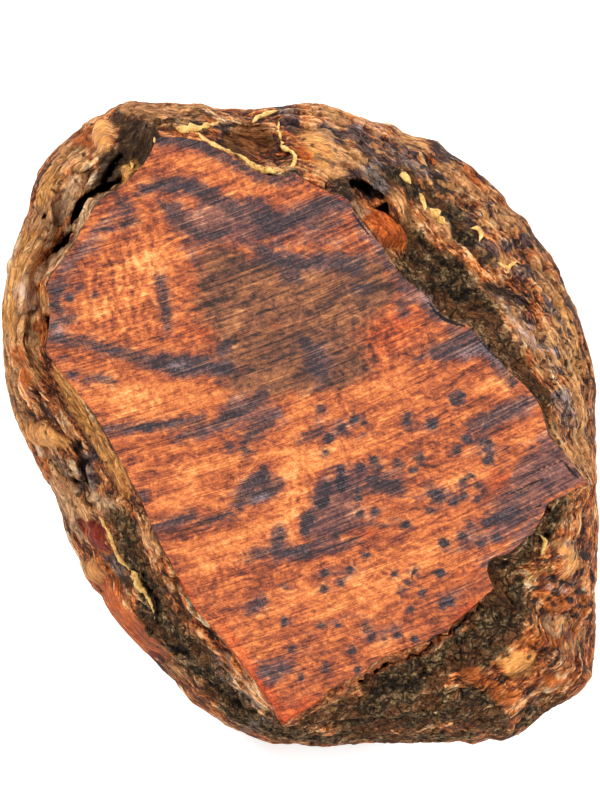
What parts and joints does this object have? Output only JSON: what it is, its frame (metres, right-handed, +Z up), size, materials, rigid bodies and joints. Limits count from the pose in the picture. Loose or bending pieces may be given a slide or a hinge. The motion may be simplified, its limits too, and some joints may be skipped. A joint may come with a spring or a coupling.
{
  "type": "thuya burl",
  "caption": "Waxed lump of thuya burl wood, sawn flat on top and underneath, with its natural gnarled wall left on.",
  "frame": {"origin": "on the sawn underside, under the middle of the lump's box", "axes": "+Z up, out of the sawn face; +Y along the lump's longest side, towards the end with the hollow"},
  "size_m": [0.253, 0.2768, 0.11],
  "materials": {
    "burl_wood": "waxed satin, orange-brown with dark figure and eyes, rough brown bark on the wall"
  },
  "bodies": {
    "root": {"thuya_burl": "burl_wood"}
  },
  "joints": []
}
